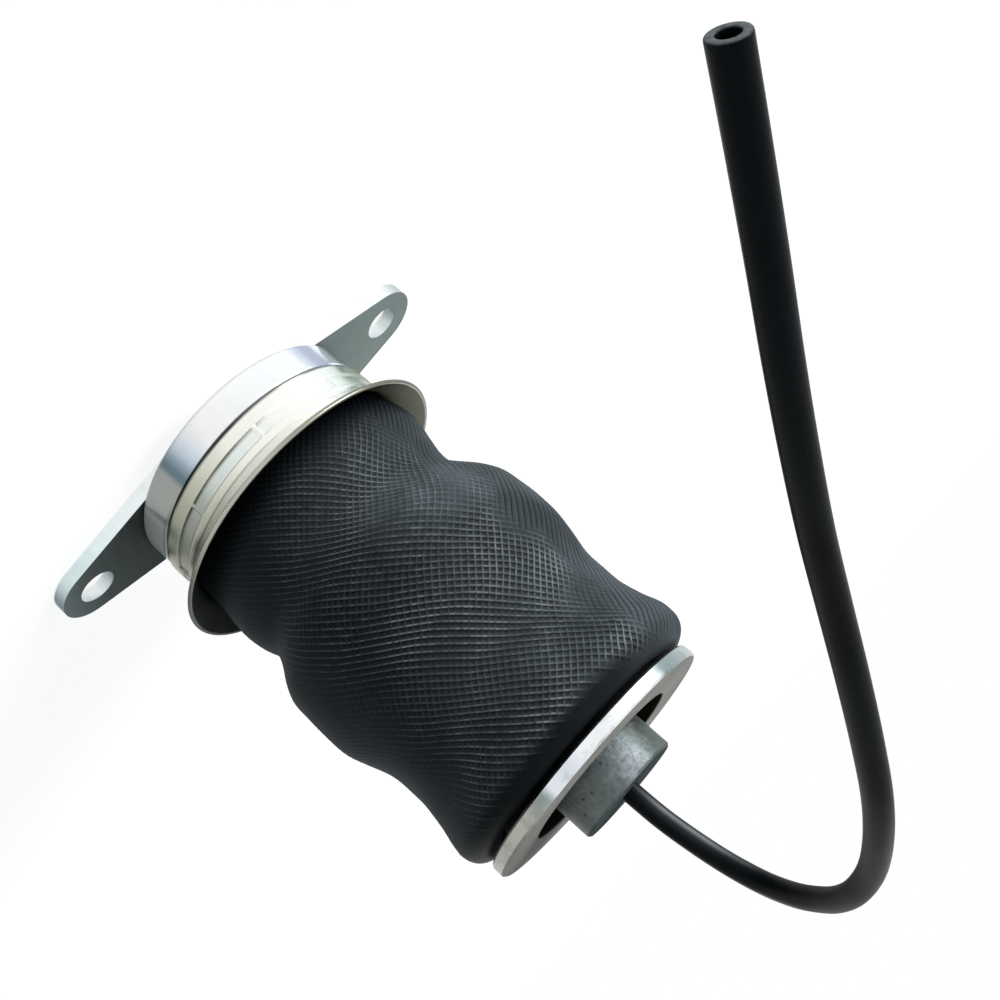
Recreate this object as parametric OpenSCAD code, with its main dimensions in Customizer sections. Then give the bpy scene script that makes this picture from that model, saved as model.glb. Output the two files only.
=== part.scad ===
// Cab air spring: an eared base can, a rolled rubber bellows and a moving head with an air hose.
// Millimetres. The plate's lower face is z = 0, +Z runs along the spring to the head,
// and +X runs along the two ears.

/* [Mounting plate] */
// Distance between the two bolt holes
hole_spacing = 140; // [134:1:150]
// Diameter of each bolt hole
bolt_hole_d = 13.5; // [9:0.5:14.5]
// Thickness of the plate
plate_t = 5; // [4:0.5:6]
// Radius of each rounded ear tip
ear_r = 14; // [12:0.5:16]
// Half the plate's width across its middle
plate_mid_r = 33; // [28:1:38]

/* [Can and guide sleeve] */
// Outer radius of the can
can_r = 47; // [46.5:0.5:47.5]
// Thickness of the can's sheet
can_wall = 2; // [1.5:0.5:2]
// Height of the can's bright band above the plate
band_h = 13; // [11:1:14]
// Height of the neck that the bellows is crimped on
neck_h = 14; // [13:0.5:16]
// How far the guide sleeve's straight band stands out past the can
sleeve_step = 0.5; // [0:0.5:1]
// Thickness of the guide sleeve's sheet
sleeve_wall = 1.5; // [1:0.1:1.5]
// Radius of the flared rim
flare_r = 56.5; // [54:0.5:58]
// Height of the flared rim above the plate's lower face
flare_z = 40; // [39:0.5:43]
// Angle of the flare from the spring's axis
flare_angle = 50; // [40:1:60]
// Number of crimp marks round the sleeve
crimp_count = 9; // [6:1:12]
// Depth of a crimp mark
crimp_depth = 0.6; // [0.3:0.1:0.8]
// Height of a crimp mark
crimp_h = 5.2; // [4:0.2:6]

/* [Bellows] */
// Thickness of the rubber
rubber_t = 2.5; // [2:0.1:2.6]
// How much the folds differ round the bellows, where 1 is as built and 0 is none
fold_swing = 1; // [0:0.1:1.2]

/* [Head] */
// Height of the head's outer face
head_z = 174; // [172:1:180]
// Thickness of the end ring
ring_t = 5; // [4:0.5:6]
// Outer radius of the end ring
ring_r = 47; // [44:0.5:50]
// Radius of the end ring's hole
ring_hole_r = 30; // [28:0.5:30.5]
// Outer radius of the piston that the bellows rolls on
piston_r = 36; // [35.5:0.5:36]
// Depth of the ring-shaped recess round the hub
recess_depth = 23; // [20:1:24]
// Radius of the hub
hub_r = 19.75; // [18:0.25:21]
// How far the hub stands out of the end ring
hub_out = 12; // [8:1:16]
// Number of stiffening ribs under the piston's floor
rib_count = 6; // [6:3:12]

/* [Travel] */
// How far the head goes down before it meets the bump stop
travel_down = 50; // [30:1:60]

/* [Air hose] */
// Outer diameter of the hose
hose_d = 7.2; // [6.8:0.1:7.4]
// Bore of the hose
hose_bore_d = 4.2; // [4:0.1:4.4]

/* [Hidden] */
$fn = 96;
eps = 0.01;

// Colours, as the photo shows them
zinc_bright = [0.80, 0.82, 0.84];
zinc_yellow = [0.71, 0.72, 0.64];
zinc_grey = [0.43, 0.48, 0.48];
alloy = [0.68, 0.69, 0.67];
cast_grey = [0.42, 0.45, 0.44];
brass = [0.72, 0.58, 0.30];
rubber_black = [0.09, 0.10, 0.11];
rubber_grey = [0.20, 0.20, 0.20];

// Clearances: between soft rubber and metal, between close fits, and screws in their holes
soft_gap = 0.3;
fit_gap = 0.05;
screw_gap = 0.15;

// Base: heights up the can
sleeve_r = can_r + sleeve_step;
can_floor_z = plate_t + can_wall;
band_top = plate_t + band_h;
neck_top = band_top + neck_h;
neck_r = sleeve_r - sleeve_wall - rubber_t - 2 * soft_gap + 0.1;
can_corner_r = 2.5;
groove_gap = 0.8;
sleeve_bottom = band_top + groove_gap;
edge_r = 0.5;

// Base: the flare, a bend of flare_bend_r followed by a straight cone
flare_bend_r = 5;
flare_run = flare_r - sleeve_r;
flare_straight = (flare_run - flare_bend_r * (1 - cos(flare_angle))) / sin(flare_angle);
flare_rise = flare_bend_r * sin(flare_angle) + flare_straight * cos(flare_angle);
bend_z = flare_z - flare_rise;
crimp_top = bend_z - 0.6;
crimp_ridge_angle = 2.5;
crimp_step = 360 / crimp_count;
crimp_turn = 11.5;

// Head: heights down from the end ring
ring_z = head_z - ring_t;
ring_neck_h = 9;
ring_chamfer = 0.7;
piston_wall = 3.5;
piston_bore_r = piston_r - piston_wall;
floor_t = 5;
floor_top = head_z - recess_depth;
floor_z = floor_top - floor_t;
skirt_h = 20;
piston_z = floor_z - skirt_h;
rib_t = 3;
rib_h = 12;
// How far ribs and bosses run into the wall and floor that carry them
sink = 1;
hub_top = head_z + hub_out;
hub_chamfer = 0.8;
hub_draft_h = 4;

// Head: the bellows' inner tail and its clamp on the piston
tail_r = piston_r + soft_gap + rubber_t / 2;
tail_end_z = piston_z + 2;
clamp_h = 10;
clamp_t = 1.5;
clamp_z = tail_end_z + 3;
clamp_bore_r = tail_r + rubber_t / 2 + soft_gap;
tooth_depth = 0.5;

// Head: the hub's neck, its nut and the hose's fittings
neck_thread_r = 12;
washer_r = 18;
washer_t = 1.5;
rib_start = washer_r + 1.5;
nut_r = 17.3;
nut_t = 7;
hub_neck_z = floor_z - 11;
seal_r = 15.5;
seal_wire_r = 1;
hose_r = hose_d / 2;
hose_bore_r = hose_bore_d / 2;
hose_hole_r = hose_r + screw_gap;
nipple_thread_r = 4.6;
nipple_hole_r = nipple_thread_r + fit_gap;
nipple_hex_r = 6.9;
nipple_hex_t = 5;
nipple_seal_t = 1;
nipple_body_top = hub_neck_z + 12;
nipple_air_r = 1.1;
barb_r = hose_bore_r - screw_gap;
barb_h = 11;
ferrule_h = 10;
nipple_chamber_top = nipple_body_top + barb_h + 2;
hose_start_z = nipple_body_top + 1;

// Head: the strike plate and its screws
strike_t = 3;
strike_z = piston_z - strike_t;
strike_r = piston_r - 1;
screw_ring_r = 28.5;
screw_turn = 60;
screw_r = 2;
screw_head_r = 3.8;
screw_head_t = 2.2;
screw_boss_r = 5;
boss_rise = 0.5;
screw_count = 3;
screw_len = 12;
vent_r = 4;
vent_ring_r = 24;

// Base: the bump stop, standing up to where the strike plate stops
stop_gap = 0.5;
seat_t = 1.5;
seat_r = 21;
seat_lip_h = 5;
stop_z = can_floor_z + seat_t;
stop_top = strike_z - travel_down - stop_gap;
stop_h = stop_top - stop_z;
stop_base_r = 19;
stop_waist_r = 14;
stop_tip_r = 12;
rivet_r = 5;
rivet_head_r = 9;
rivet_head_t = 2;
rivet_reach = 24;
rivet_top = stop_z + rivet_reach;
rivet_barb_r = rivet_r + 1;
rivet_tip_h = 5;
rivet_edge = 0.5;
rivet_inset = 0.2;

// Bellows: centre line of the rubber as [radius, height], from the crimped end over the lobe,
// then round the roll and down the tail. Each of lobe_points is [radius past a straight line
// from the crimped end to the roll, height].
half_t = rubber_t / 2;
crimped_r = neck_r + soft_gap + half_t;
free_z = max(neck_top, bend_z);
crimped_points = [
    [crimped_r, band_top + 0.5], [crimped_r, band_top + 6], [crimped_r, free_z],
    [crimped_r + 1.1, free_z + 5]];
lobe_points = [
    [0.9, 46], [0, 56], [-1.5, 63], [-1.8, 69], [0, 74], [2.4, 79], [4.1, 84], [4.6, 92],
    [4.3, 101], [3.3, 109], [1.4, 116], [-1.2, 125], [-2.2, 133], [-2.5, 141], [-1.8, 149],
    [-0.7, 154]];
roll_r = 6.7;
roll_gap = 2;
roll_mid = [tail_r + roll_r, ring_z - roll_gap - half_t - roll_r];
lobe_line = [[free_z, crimped_r], [roll_mid[1], roll_mid[0] + roll_r]];
lobe = [for (p = lobe_points) [p[0] + lookup(p[1], lobe_line), p[1]]];
roll_points = [for (a = [0:22.5:180]) roll_mid + roll_r * [cos(a), sin(a)]];
tail_points = [[tail_r, 150], [tail_r, 140], [tail_r, tail_end_z]];
rubber_line = concat(crimped_points, lobe, roll_points, tail_points);
bellows_sides = 48;

// How the folds differ round it, as [height, change of radius]: from side to side, and as an oval
fold_turn = 10;
fold_tilt = [[36, 0], [42, 0.9], [49, 0.3], [56, -1], [63, -1.5], [69, -0.2], [74, 0.3], [79, 0.5],
    [92, 0.7], [109, 0.9], [125, 0.6], [133, 0.9], [141, 1.3], [149, 1.5], [157, 1.4], [166, 0]];
fold_oval = [[36, 0], [49, -0.6], [63, -0.7], [69, -1.1], [74, -0.5], [79, 0.2], [84, 0.5], [109, 0.4],
    [116, 0.2], [125, -0.1], [141, 0], [166, 0]];

// Air hose: route of its centre line, straight out of the hub, over and down to the open end
hose_route = [
    [0, 0, hose_start_z], [0, 0, 160], [0, 0, 174], [0, 0, 188], [0, 0, 200], [0.5, 2, 212],
    [2, 8, 223.5], [3, 17, 234.5], [4, 29, 242.5], [5, 43, 247], [5.5, 58, 249],
    [6.5, 74, 249.5], [9, 91, 247.5], [11.5, 108, 242.5], [14.5, 124, 235.5], [17.5, 140, 226],
    [20.5, 157, 215], [23, 174, 203.5], [25.5, 192, 193], [27.5, 210, 183.5], [30, 228, 174],
    [33, 245, 165], [36, 262, 156], [38, 278, 148]];
hose_sides = 12;

// Points of an arc from angle a0 to a1
function arc(mid, r, a0, a1, steps = 6) =
    [for (i = [0:steps]) mid + r * [cos(a0 + (a1 - a0) * i / steps), sin(a0 + (a1 - a0) * i / steps)]];

function unit(v) = v / norm(v);

// Direction of a line of points at point i
function along(points, i) =
    unit(points[min(i + 1, len(points) - 1)] - points[max(i - 1, 0)]);

// The same line moved sideways by d
function shifted(points, d) =
    [for (i = [0:len(points) - 1]) let (t = along(points, i)) points[i] + d * [t[1], -t[0]]];

// Change of a section point's radius by the folds at angle a: none on the tail
function fold(p, a) = p[0] < tail_r + rubber_t ? 0 : fold_swing * (
    lookup(p[1], fold_tilt) * cos(a - fold_turn) + lookup(p[1], fold_oval) * cos(2 * (a - fold_turn)));

// One ring of the bellows: a section point carried round, with its folds
function bellows_ring(p) = [
    for (i = [0:bellows_sides - 1])
        let (a = 360 * i / bellows_sides, r = p[0] + fold(p, a))
        [r * cos(a), r * sin(a), p[1]]];

// Faces between rings of points, with the last ring joined to the first
function ring_faces(rings, sides) = [
    for (j = [0:rings - 1], i = [0:sides - 1])
        let (j2 = (j + 1) % rings, i2 = (i + 1) % sides)
        [j * sides + i, j2 * sides + i, j2 * sides + i2, j * sides + i2]];

// A round middle with an ear each side, its straight edges tangent to both circles
module rounded_plate(r_mid, r_tip, reach) {
    lean = acos((r_mid - r_tip) / reach);
    polygon(concat(
        arc([reach, 0], r_tip, -lean, lean, 24),
        arc([0, 0], r_mid, lean, 180 - lean, 8),
        arc([-reach, 0], r_tip, 180 - lean, 180 + lean, 24),
        arc([0, 0], r_mid, 180 + lean, 360 - lean, 8)));
}

module tube(r_out, r_in, h) {
    difference() {
        cylinder(r = r_out, h = h);
        translate([0, 0, -eps]) cylinder(r = r_in, h = h + 2 * eps);
    }
}

module hexagon(r, h) {
    cylinder(r = r, h = h, $fn = 6);
}

module mounting_plate() {
    color(zinc_grey)
        difference() {
            linear_extrude(plate_t) rounded_plate(plate_mid_r, ear_r, hole_spacing / 2);
            for (side = [-1, 1])
                translate([side * hole_spacing / 2, 0, -eps])
                    cylinder(d = bolt_hole_d, h = plate_t + 2 * eps);
            translate([0, 0, -eps]) cylinder(r = rivet_r + fit_gap, h = plate_t + 2 * eps);
            translate([0, 0, -eps]) cylinder(r = rivet_head_r + fit_gap, h = rivet_head_t + 2 * eps);
        }
}

module can_shell() {
    in_r = can_r - can_wall;
    shoulder = band_top - can_wall;
    color(zinc_bright)
        rotate_extrude()
            polygon(concat(
                [[rivet_r + fit_gap, plate_t]],
                arc([can_r - can_corner_r, plate_t + can_corner_r], can_corner_r, -90, 0),
                arc([can_r - can_wall / 2, band_top - can_wall / 2], can_wall / 2, 0, 90),
                [[neck_r, band_top]],
                arc([neck_r - edge_r, neck_top - edge_r], edge_r, 0, 90, 3),
                [[neck_r - can_wall, neck_top], [neck_r - can_wall, shoulder], [in_r, shoulder]],
                arc([in_r - edge_r, can_floor_z + edge_r], edge_r, 0, -90, 3),
                [[rivet_r + fit_gap, can_floor_z]]));
}

module guide_sleeve() {
    in_r = sleeve_r - sleeve_wall;
    mid = [sleeve_r + flare_bend_r, bend_z];
    lip = flare_straight * [sin(flare_angle), cos(flare_angle)];
    face = [cos(flare_angle), -sin(flare_angle)];
    rim = mid - flare_bend_r * face + lip;
    color(zinc_yellow)
        difference() {
            rotate_extrude()
                polygon(concat(
                    [[in_r, sleeve_bottom], [sleeve_r - edge_r, sleeve_bottom]],
                    [[sleeve_r, sleeve_bottom + edge_r]],
                    arc(mid, flare_bend_r, 180, 180 - flare_angle),
                    arc(rim - sleeve_wall / 2 * face, sleeve_wall / 2, -flare_angle, 180 - flare_angle),
                    arc(mid, flare_bend_r + sleeve_wall, 180 - flare_angle, 180)));
            for (i = [0:crimp_count - 1])
                rotate(crimp_turn + i * crimp_step + crimp_ridge_angle / 2)
                    translate([0, 0, crimp_top - crimp_h])
                        rotate_extrude(angle = crimp_step - crimp_ridge_angle)
                            translate([sleeve_r - crimp_depth, 0]) square([crimp_depth + 1, crimp_h]);
        }
}

module bump_stop_rivet() {
    color(zinc_grey)
        rotate_extrude()
            polygon([
                [0, rivet_inset], [rivet_head_r - rivet_edge, rivet_inset],
                [rivet_head_r, rivet_inset + rivet_edge], [rivet_head_r, rivet_head_t],
                [rivet_r, rivet_head_t], [rivet_r, rivet_top - rivet_tip_h - 2 * rivet_edge],
                [rivet_barb_r, rivet_top - rivet_tip_h],
                [rivet_r - 2 * rivet_edge, rivet_top], [0, rivet_top]]);
}

module bump_stop_seat() {
    lip = seat_lip_h + seat_t;
    color(zinc_bright)
        translate([0, 0, can_floor_z])
            rotate_extrude()
                polygon(concat(
                    [[rivet_r + fit_gap, 0]],
                    arc([seat_r - 1.5, 1.5], 1.5, -90, 0, 4),
                    [[seat_r + 1, lip], [seat_r - seat_t + 1, lip], [seat_r - seat_t, seat_t]],
                    [[rivet_r + fit_gap, seat_t]]));
}

// A hollow rubber buffer with two waists, wider at its foot
module bump_stop() {
    step = stop_h / 6;
    barb_room = rivet_barb_r + 0.2;
    barb_z = rivet_top - rivet_tip_h - stop_z;
    color(rubber_grey)
        translate([0, 0, stop_z + fit_gap])
            rotate_extrude()
                polygon(concat(
                    [[rivet_r + 0.2, 0], [stop_base_r - 1, 0], [stop_base_r, 1]],
                    arc([stop_waist_r, step], stop_base_r - stop_waist_r, 0, 70),
                    arc([stop_waist_r + 2.5, 2 * step], 2.5, 250, 110),
                    arc([stop_waist_r, 3 * step], 3, -70, 70),
                    arc([stop_tip_r + 2.5, 4 * step], 2.5, 250, 110),
                    arc([stop_tip_r - 4, stop_h - 8], 8, -20, 90),
                    [[4, stop_h], [4, stop_h - 6], [2.5, stop_h - 8], [2.5, barb_z + 7.5]],
                    [[barb_room, barb_z + 6], [barb_room, barb_z - 1.5], [rivet_r + 0.2, barb_z - 2.5]]));
}

module bellows() {
    outside = shifted(rubber_line, half_t);
    inside = shifted(rubber_line, -half_t);
    count = len(rubber_line);
    section = concat(outside, [for (i = [count - 1:-1:0]) inside[i]]);
    rings = [for (p = section) bellows_ring(p)];
    color(rubber_black)
        polyhedron([for (ring = rings, p = ring) p], ring_faces(len(rings), bellows_sides));
}

module piston() {
    tooth = [[piston_r, 0], [piston_r - tooth_depth, 1], [piston_r - tooth_depth, 1.8], [piston_r, 1.8]];
    teeth = [for (i = [0:3], p = tooth) p + [0, clamp_z + 0.6 + 2.4 * i]];
    color(alloy)
        difference() {
            union() {
                rotate_extrude()
                    polygon(concat(
                        [[piston_bore_r, piston_z], [piston_r - 1, piston_z], [piston_r, piston_z + 1]],
                        teeth,
                        [[piston_r, ring_z], [piston_bore_r, ring_z]],
                        [[piston_bore_r, floor_top + 2], [piston_bore_r - 2, floor_top]],
                        [[neck_thread_r + fit_gap, floor_top], [neck_thread_r + fit_gap, floor_z]],
                        [[piston_bore_r, floor_z]]));
                for (i = [0:rib_count - 1])
                    rotate(360 * (i + 0.5) / rib_count)
                        translate([rib_start, -rib_t / 2, floor_z - rib_h])
                            cube([piston_bore_r + sink - rib_start, rib_t, rib_h + sink]);
                for (i = [0:screw_count - 1])
                    rotate(screw_turn + 360 * i / screw_count)
                        translate([screw_ring_r, 0, piston_z + boss_rise])
                            cylinder(r = screw_boss_r, h = skirt_h - boss_rise + sink);
            }
            for (i = [0:screw_count - 1])
                rotate(screw_turn + 360 * i / screw_count)
                    translate([screw_ring_r, 0, piston_z - eps])
                        cylinder(r = screw_r + fit_gap, h = screw_len + 2);
        }
}

module end_ring() {
    neck_r_out = piston_bore_r - fit_gap;
    color(alloy)
        rotate_extrude()
            polygon([
                [ring_hole_r, ring_z - ring_neck_h], [neck_r_out - 0.5, ring_z - ring_neck_h],
                [neck_r_out, ring_z - ring_neck_h + 0.5], [neck_r_out, ring_z],
                [ring_r - ring_chamfer, ring_z], [ring_r, ring_z + ring_chamfer],
                [ring_r, head_z - ring_chamfer], [ring_r - ring_chamfer, head_z],
                [ring_hole_r + ring_chamfer, head_z], [ring_hole_r, head_z - ring_chamfer]]);
}

// A pressed steel band with its two edges turned out
module head_clamp_ring() {
    color(zinc_bright)
        rotate_extrude()
            translate([clamp_bore_r, clamp_z])
                polygon([
                    [0.6, 0], [clamp_t + 0.3, 0], [clamp_t + 0.3, 0.8], [clamp_t, 1.6],
                    [clamp_t, clamp_h - 1.6], [clamp_t + 0.3, clamp_h - 0.8], [clamp_t + 0.3, clamp_h],
                    [0.6, clamp_h], [0, clamp_h - 1], [0, 1]]);
}

module hub() {
    thread_r = neck_thread_r - fit_gap;
    color(cast_grey)
        rotate_extrude()
            polygon([
                [nipple_hole_r, hub_neck_z], [thread_r - 1, hub_neck_z], [thread_r, hub_neck_z + 1],
                [thread_r, floor_top], [seal_r - 1.2, floor_top], [seal_r - 1.2, floor_top + 2.1],
                [seal_r + 1.2, floor_top + 2.1], [seal_r + 1.2, floor_top], [hub_r - 0.5, floor_top],
                [hub_r + 0.3, floor_top + 0.8], [hub_r, head_z - hub_draft_h],
                [hub_r, hub_top - hub_chamfer],
                [hub_r - hub_chamfer, hub_top], [hose_hole_r + 1, hub_top], [hose_hole_r, hub_top - 1],
                [hose_hole_r, nipple_chamber_top], [nipple_hole_r, nipple_chamber_top]]);
}

module hub_seal() {
    color(rubber_black)
        translate([0, 0, floor_top + seal_wire_r])
            rotate_extrude() translate([seal_r, 0]) circle(r = seal_wire_r, $fn = 32);
}

module hub_washer() {
    color(zinc_bright)
        translate([0, 0, floor_z - washer_t]) tube(washer_r, neck_thread_r + screw_gap, washer_t);
}

module hub_nut() {
    color(zinc_yellow)
        translate([0, 0, floor_z - washer_t - nut_t])
            difference() {
                intersection() {
                    hexagon(nut_r, nut_t);
                    rotate_extrude()
                        polygon([
                            [0, 0], [nut_r - 1.8, 0], [nut_r, 1.2], [nut_r, nut_t - 1.2],
                            [nut_r - 1.8, nut_t], [0, nut_t]]);
                }
                translate([0, 0, -eps]) cylinder(r = neck_thread_r, h = nut_t + 2 * eps);
            }
}

module hose_nipple() {
    seat = hub_neck_z - nipple_seal_t;
    barb_top = nipple_body_top + barb_h;
    barb = [[barb_r - 0.4, 0], [barb_r, 0.4], [barb_r - 0.3, 2.4]];
    barbs = [for (i = [0:3], p = barb) p + [0, nipple_body_top + 0.8 + 2.5 * i]];
    color(brass) {
        difference() {
            union() {
                translate([0, 0, seat - nipple_hex_t]) hexagon(nipple_hex_r, nipple_hex_t);
                rotate_extrude()
                    polygon(concat(
                        [[0, seat - eps], [nipple_thread_r - 0.6, seat - eps]],
                        [[nipple_thread_r, seat + 0.6]],
                        [[nipple_thread_r, nipple_body_top - 0.6], [nipple_thread_r - 0.6, nipple_body_top]],
                        [[barb_r - 0.4, nipple_body_top]],
                        barbs,
                        [[barb_r - 0.5, barb_top], [0, barb_top]]));
            }
            translate([0, 0, seat - nipple_hex_t - eps])
                cylinder(r = nipple_air_r, h = nipple_hex_t + barb_top - seat + 2 * eps, $fn = 32);
        }
    }
}

module nipple_seal() {
    color(rubber_black)
        translate([0, 0, hub_neck_z - nipple_seal_t])
            tube(nipple_hex_r - 1, nipple_thread_r + fit_gap, nipple_seal_t);
}

// A crimped collar that closes the hose on the nipple's barbs
module hose_ferrule() {
    in_r = hose_r + fit_gap;
    out_r = nipple_hole_r - fit_gap;
    color(brass)
        translate([0, 0, hose_start_z + 0.2])
            rotate_extrude()
                polygon([
                    [in_r, 0], [out_r, 0], [out_r, 2], [out_r - 0.3, 2.5], [out_r - 0.3, 4],
                    [out_r, 4.5], [out_r, 6], [out_r - 0.3, 6.5], [out_r - 0.3, 8], [out_r, 8.5],
                    [out_r, ferrule_h], [in_r, ferrule_h]]);
}

module strike_plate() {
    color(zinc_bright)
        difference() {
            translate([0, 0, strike_z]) cylinder(r = strike_r, h = strike_t);
            for (i = [0:screw_count - 1])
                rotate(screw_turn + 360 * i / screw_count)
                    translate([screw_ring_r, 0, strike_z - eps])
                        cylinder(r = screw_r + screw_gap, h = strike_t + 2 * eps);
            for (i = [0:screw_count - 1])
                rotate(screw_turn + 360 * (i + 0.5) / screw_count)
                    translate([vent_ring_r, 0, strike_z - eps])
                        cylinder(r = vent_r, h = strike_t + 2 * eps);
        }
}

module strike_plate_screws() {
    color(zinc_yellow)
        for (i = [0:screw_count - 1])
            rotate(screw_turn + 360 * i / screw_count)
                translate([screw_ring_r, 0, strike_z])
                    difference() {
                        union() {
                            translate([0, 0, -screw_head_t])
                                cylinder(r = screw_head_r, h = screw_head_t, $fn = 48);
                            cylinder(r = screw_r, h = strike_t + screw_len, $fn = 48);
                        }
                        translate([0, 0, -screw_head_t - eps]) hexagon(1.7, 1.5);
                    }
}

// A hollow hose swept along its route: an outer and an inner skin and two ring-shaped ends
module air_hose() {
    count = len(hose_route);
    outer = [for (i = [0:count - 1]) hose_ring(i, hose_r)];
    inner = [for (i = [count - 1:-1:0]) hose_ring(i, hose_bore_r)];
    rings = concat(outer, inner);
    color(rubber_black)
        polyhedron([for (ring = rings, p = ring) p], ring_faces(len(rings), hose_sides));
}

function hose_ring(i, r) =
    let (t = along(hose_route, i), u = unit(cross(t, [1, 0, 0])), v = cross(t, u))
    [for (k = [0:hose_sides - 1])
        let (a = 360 * k / hose_sides)
        hose_route[i] + r * (cos(a) * u + sin(a) * v)];

mounting_plate();
can_shell();
guide_sleeve();
bump_stop_rivet();
bump_stop_seat();
bump_stop();
bellows();
piston();
end_ring();
head_clamp_ring();
hub();
hub_seal();
hub_washer();
hub_nut();
hose_nipple();
nipple_seal();
hose_ferrule();
strike_plate();
strike_plate_screws();
air_hose();
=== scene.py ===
import math

import bpy
import numpy as np
from mathutils import Matrix, Vector


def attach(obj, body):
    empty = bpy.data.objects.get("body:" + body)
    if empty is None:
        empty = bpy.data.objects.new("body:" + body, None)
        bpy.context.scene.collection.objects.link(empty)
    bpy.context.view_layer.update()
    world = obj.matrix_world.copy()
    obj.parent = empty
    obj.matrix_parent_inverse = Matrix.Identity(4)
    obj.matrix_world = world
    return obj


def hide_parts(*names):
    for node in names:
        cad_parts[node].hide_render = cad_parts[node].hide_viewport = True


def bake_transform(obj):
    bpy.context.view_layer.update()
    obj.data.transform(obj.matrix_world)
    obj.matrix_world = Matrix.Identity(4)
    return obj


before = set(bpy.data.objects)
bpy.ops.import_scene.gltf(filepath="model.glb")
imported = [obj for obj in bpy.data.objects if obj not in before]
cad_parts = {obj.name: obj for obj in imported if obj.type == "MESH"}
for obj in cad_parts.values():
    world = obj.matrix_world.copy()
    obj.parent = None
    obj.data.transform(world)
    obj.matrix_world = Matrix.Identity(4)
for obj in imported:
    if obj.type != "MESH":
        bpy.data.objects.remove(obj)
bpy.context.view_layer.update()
scene = bpy.context.scene
MM = 0.001


def linear(code):
    """A linear colour from a screen colour such as 5f6662."""
    parts = [int(code[i:i + 2], 16) / 255 for i in (0, 2, 4)]
    return tuple(c / 12.92 if c <= 0.04045 else ((c + 0.055) / 1.055) ** 2.4 for c in parts)


# Camera, fitted to the photograph: its place, and its directions to the right, down and forward
CAMERA_AT = (-0.0736, 0.4154, 0.2123)
cam = bpy.data.objects.new("camera", bpy.data.cameras.new("camera"))
scene.collection.objects.link(cam)
cam.data.sensor_width = 36
cam.data.lens = 46.046
cam.data.clip_start = 0.01
right, down, forward = (0.6756, -0.0272, 0.7367), (-0.6871, -0.3854, 0.6159), (0.2672, -0.9223, -0.2791)
axes = Matrix((right, [-x for x in down], [-x for x in forward])).transposed()
cam.matrix_world = Matrix.Translation(CAMERA_AT) @ axes.normalized().to_4x4()
scene.camera = cam
scene.view_settings.view_transform = "Standard"


# Meshes
def new_object(name, points, faces, smooth=True):
    mesh = bpy.data.meshes.new(name)
    mesh.from_pydata([tuple(map(float, p)) for p in points], [], faces)
    mesh.validate()
    if smooth:
        mesh.polygons.foreach_set("use_smooth", [True] * len(mesh.polygons))
    ob = bpy.data.objects.new(name, mesh)
    scene.collection.objects.link(ob)
    return ob


def paint(ob, **tones):
    """Stores one number per point under each name, for the object's material."""
    for name, values in tones.items():
        layer = ob.data.attributes.new(name, "FLOAT", "POINT")
        layer.data.foreach_set("value", np.ravel(values).astype(np.float32))


def curve_through(points, steps):
    """Points on a smooth curve through the given ones."""
    p = np.array(points, float)
    p = np.vstack([2 * p[0] - p[1], p, 2 * p[-1] - p[-2]])
    out = []
    for i in range(1, len(p) - 2):
        a, b, c, d = p[i - 1:i + 3]
        for k in range(steps):
            t = k / steps
            out.append(0.5 * (2 * b + (c - a) * t + (2 * a - 5 * b + 4 * c - d) * t * t
                              + (3 * b - a - 3 * c + d) * t ** 3))
    out.append(p[-2])
    return np.array(out)


def band(a, b, sides, shift=0):
    """Quads from the ring that starts at point a to the one at point b, turned by shift points."""
    return [(a + i, a + (i + 1) % sides, b + (i + 1 + shift) % sides, b + (i + shift) % sides)
            for i in range(sides)]


def ring_faces(rings, sides):
    """Quads from each ring to the next, and from the last back to the first."""
    faces = []
    for j in range(rings):
        faces += band(j * sides, (j + 1) % rings * sides, sides)
    return faces


# Air hose
# The route of part.scad's air_hose in millimetres, from inside the hub to the open end, evened out by about
# 1 mm at most
hose_route = [
    (0, 0, 160), (0, 0, 174), (0, 0, 188), (0.4, 0, 200), (1.3, 2.2, 212), (2.1, 8, 223.5),
    (3.2, 17, 234.5), (4.3, 29, 242.4), (5.1, 43, 247), (5.4, 58, 249.2), (6.5, 74, 249.6), (9, 91, 247.5),
    (11.5, 108, 242.5), (14.3, 124, 235.3), (17.3, 140, 225.8), (20.4, 157, 214.9), (23.3, 174, 203.7),
    (25.5, 192, 193), (27.5, 210, 183.5), (30, 228, 174), (32.9, 245, 164.9), (35.7, 262, 155.7),
    (38.3, 277.7, 147)]
HOSE_R, BORE_R, BEVEL = 3.6 * MM, 1.95 * MM, 0.35 * MM
line = curve_through(np.array(hose_route) * MM, 10)


def swept(path, profile, sides):
    """Rings round a path: profile gives (index along the path, radius, step along the path's direction)."""
    tangents = np.gradient(path, axis=0)
    tangents /= np.linalg.norm(tangents, axis=1)[:, None]
    side = np.cross(tangents, (1.0, 0, 0))
    side /= np.linalg.norm(side, axis=1)[:, None]
    other = np.cross(tangents, side)
    angles = np.arange(sides) * 2 * math.pi / sides
    rings = []
    for i, r, step in profile:
        rings.append(path[i] + tangents[i] * step
                     + r * (np.cos(angles)[:, None] * side[i] + np.sin(angles)[:, None] * other[i]))
    return np.vstack(rings)


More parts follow.
